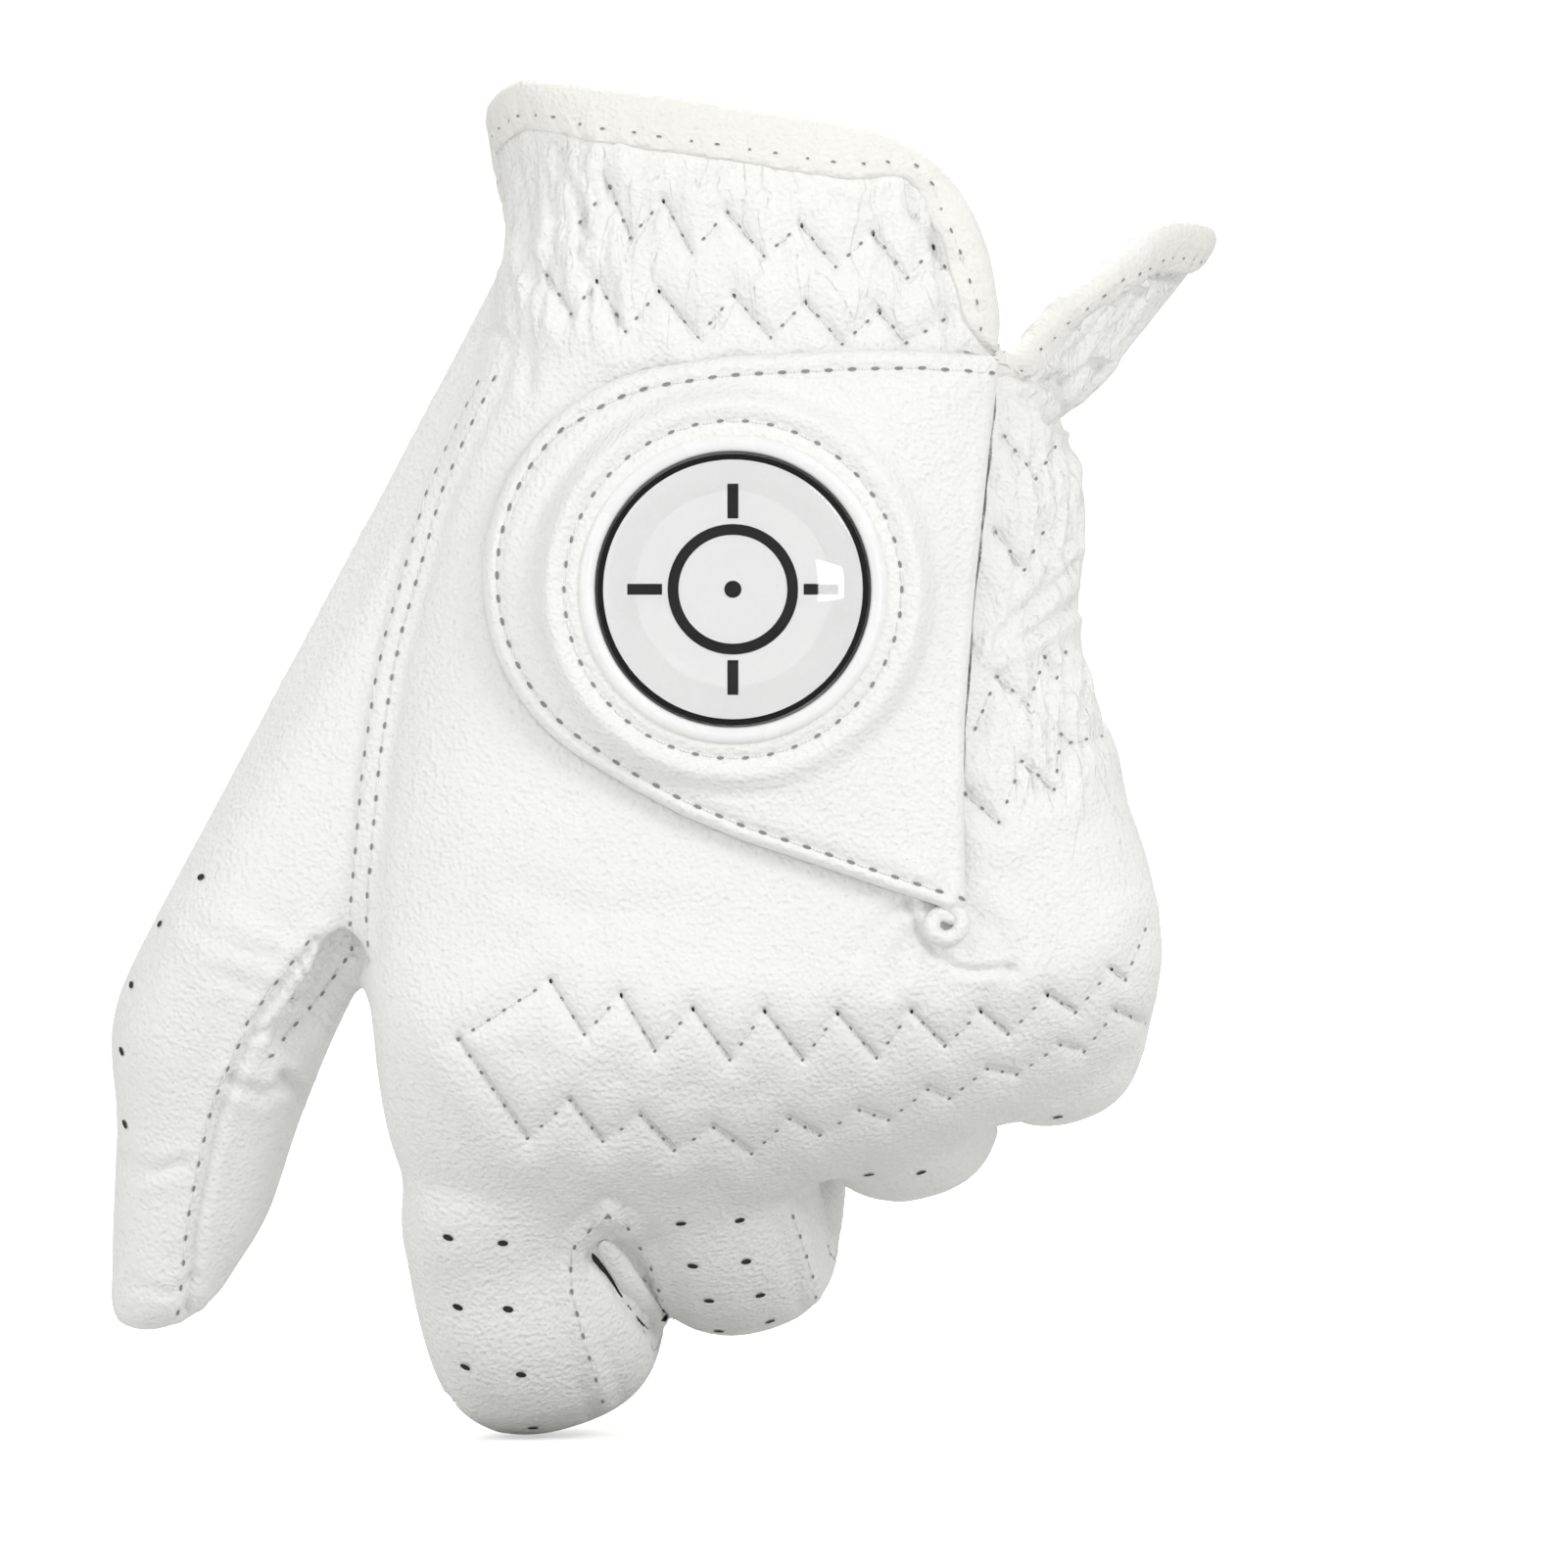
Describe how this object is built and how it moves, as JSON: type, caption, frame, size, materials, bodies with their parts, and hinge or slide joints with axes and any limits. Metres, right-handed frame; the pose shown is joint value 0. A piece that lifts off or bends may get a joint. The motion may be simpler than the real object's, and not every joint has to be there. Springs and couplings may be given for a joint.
{
  "type": "golf glove",
  "caption": "White leather golf glove closed round a club handle, with a hook-and-loop closure tab that holds a round magnetic ball marker.",
  "frame": {"origin": "centre of the wrist opening", "axes": "+Z out of the wrist opening, along the forearm; +X to the little-finger side; -Y out of the back of the hand; the glove hangs below the origin with its fingers curled to +Y"},
  "size_m": [0.1023, 0.0732, 0.1258],
  "materials": {
    "leather": "fine-grained white cabretta leather",
    "binding_leather": "soft folded leather tape, slightly cream",
    "elastic": "woven elastic",
    "hook_and_loop": "hook-and-loop tape",
    "seat_plastic": "moulded satin plastic",
    "magnet": "bare steel",
    "marker_black": "gloss black enamel",
    "marker_print": "printed light grey",
    "marker_ink": "printed black",
    "marker_resin": "clear domed resin"
  },
  "bodies": {
    "glove": {"back_panel": "leather", "palm_panel": "leather", "thumb_base_panel": "leather", "cuff_binding_back": "binding_leather", "cuff_binding_palm": "binding_leather", "slit_binding_back": "binding_leather", "slit_binding_palm": "binding_leather", "slit_end_loop": "binding_leather", "wrist_elastic": "elastic", "heel_elastic": "elastic", "knuckle_elastic": "elastic", "loop_patch": "hook_and_loop"},
    "closure_tab": {"tab_leather": "leather", "tab_lining": "leather", "hook_patch": "hook_and_loop", "tab_hem": "leather", "marker_seat": "seat_plastic", "seat_flange": "seat_plastic", "seat_magnet": "magnet"},
    "ball_marker": {"marker_disc": "marker_black", "marker_face": "marker_print", "marker_emblem": "marker_ink", "marker_dome": "marker_resin"},
    "thumb": {"thumb_outer_leather": "leather", "thumb_inner_leather": "leather", "thumb_quirk": "leather"},
    "index_finger": {"index_back_leather": "leather", "index_palm_leather": "leather", "index_gusset": "leather"},
    "middle_finger": {"middle_back_leather": "leather", "middle_palm_leather": "leather", "middle_gussets": "leather"},
    "ring_finger": {"ring_back_leather": "leather", "ring_palm_leather": "leather", "ring_gussets": "leather"},
    "little_finger": {"little_back_leather": "leather", "little_palm_leather": "leather", "little_gusset": "leather"}
  },
  "joints": [
    {"name": "tab_peel", "type": "hinge", "parent": "glove", "child": "closure_tab", "pos_m": [0.02205, -0.02698, -0.0346], "axis": [0.0648, 0.0105, 0.9978], "range_deg": [0, 150]},
    {"name": "marker_lift", "type": "slide", "parent": "closure_tab", "child": "ball_marker", "axis": [0, -1, 0], "range_m": [0, 0.012]},
    {"name": "index_open", "type": "hinge", "parent": "glove", "child": "index_finger", "pos_m": [-0.02193, -0.0086, -0.09413], "axis": [-0.9608, -0.0784, -0.2661], "range_deg": [0, 35]},
    {"name": "middle_open", "type": "hinge", "parent": "glove", "child": "middle_finger", "pos_m": [-0.00426, -0.00716, -0.08923], "axis": [-0.9608, -0.0784, -0.2661], "range_deg": [0, 35]},
    {"name": "ring_open", "type": "hinge", "parent": "glove", "child": "ring_finger", "pos_m": [0.01358, -0.0057, -0.08429], "axis": [-0.9608, -0.0784, -0.2661], "range_deg": [0, 35]},
    {"name": "little_open", "type": "hinge", "parent": "glove", "child": "little_finger", "pos_m": [0.03021, -0.00434, -0.07969], "axis": [-0.9608, -0.0784, -0.2661], "range_deg": [0, 35]},
    {"name": "thumb_open", "type": "hinge", "parent": "glove", "child": "thumb", "pos_m": [-0.0459, -0.0126, -0.0644], "axis": [-0.9445, 0, 0.3285], "range_deg": [0, 25]}
  ]
}
